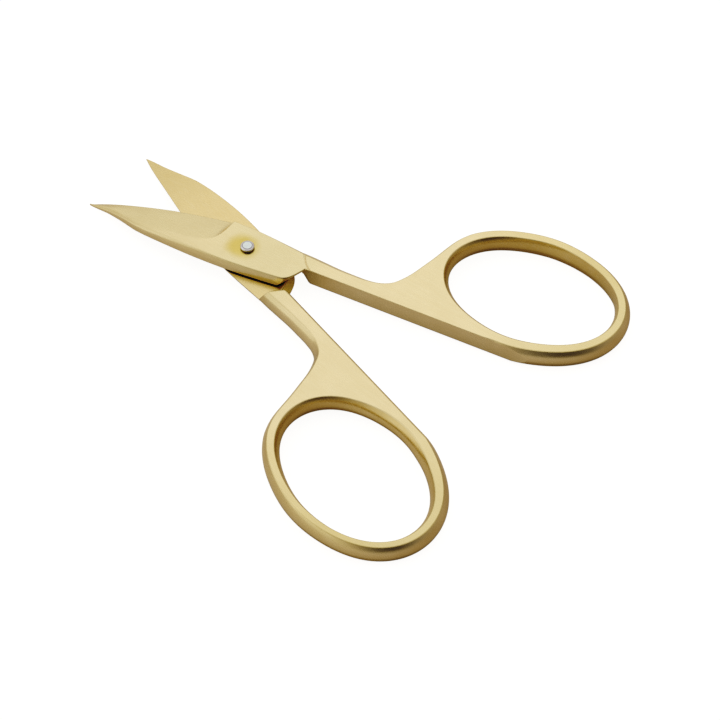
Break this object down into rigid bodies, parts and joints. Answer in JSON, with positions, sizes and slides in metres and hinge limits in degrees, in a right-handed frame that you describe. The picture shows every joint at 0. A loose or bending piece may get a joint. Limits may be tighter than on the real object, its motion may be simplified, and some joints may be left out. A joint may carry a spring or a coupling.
{
  "type": "thread snips",
  "caption": "Small curved-blade thread snips with oval finger loops, two half-lap forged halves turning on a riveted pivot pin.",
  "frame": {"origin": "centre of the flat peened end of the pivot pin, on the pivot axis; the two blades' lap faces meet 2.46 mm below it", "axes": "+X from the pivot towards the blade tips, along the bisector of the two halves at rest; +Z along the pivot axis towards the pin's peened end; +Y towards the lower half's finger loop"},
  "size_m": [0.09, 0.0718, 0.006],
  "materials": {
    "brushed_pale_gold": "satin brushed pale gold coating on steel",
    "bright_steel": "bright turned steel, peened end"
  },
  "bodies": {
    "lower_half": {"lower_half": "brushed_pale_gold", "pivot_pin": "bright_steel"},
    "upper_half": {"upper_half": "brushed_pale_gold"}
  },
  "joints": [
    {"name": "pivot", "type": "hinge", "parent": "lower_half", "child": "upper_half", "pos_m": [0, 0, 0], "axis": [0, 0, 1], "range_deg": [-26.4, 90]}
  ]
}
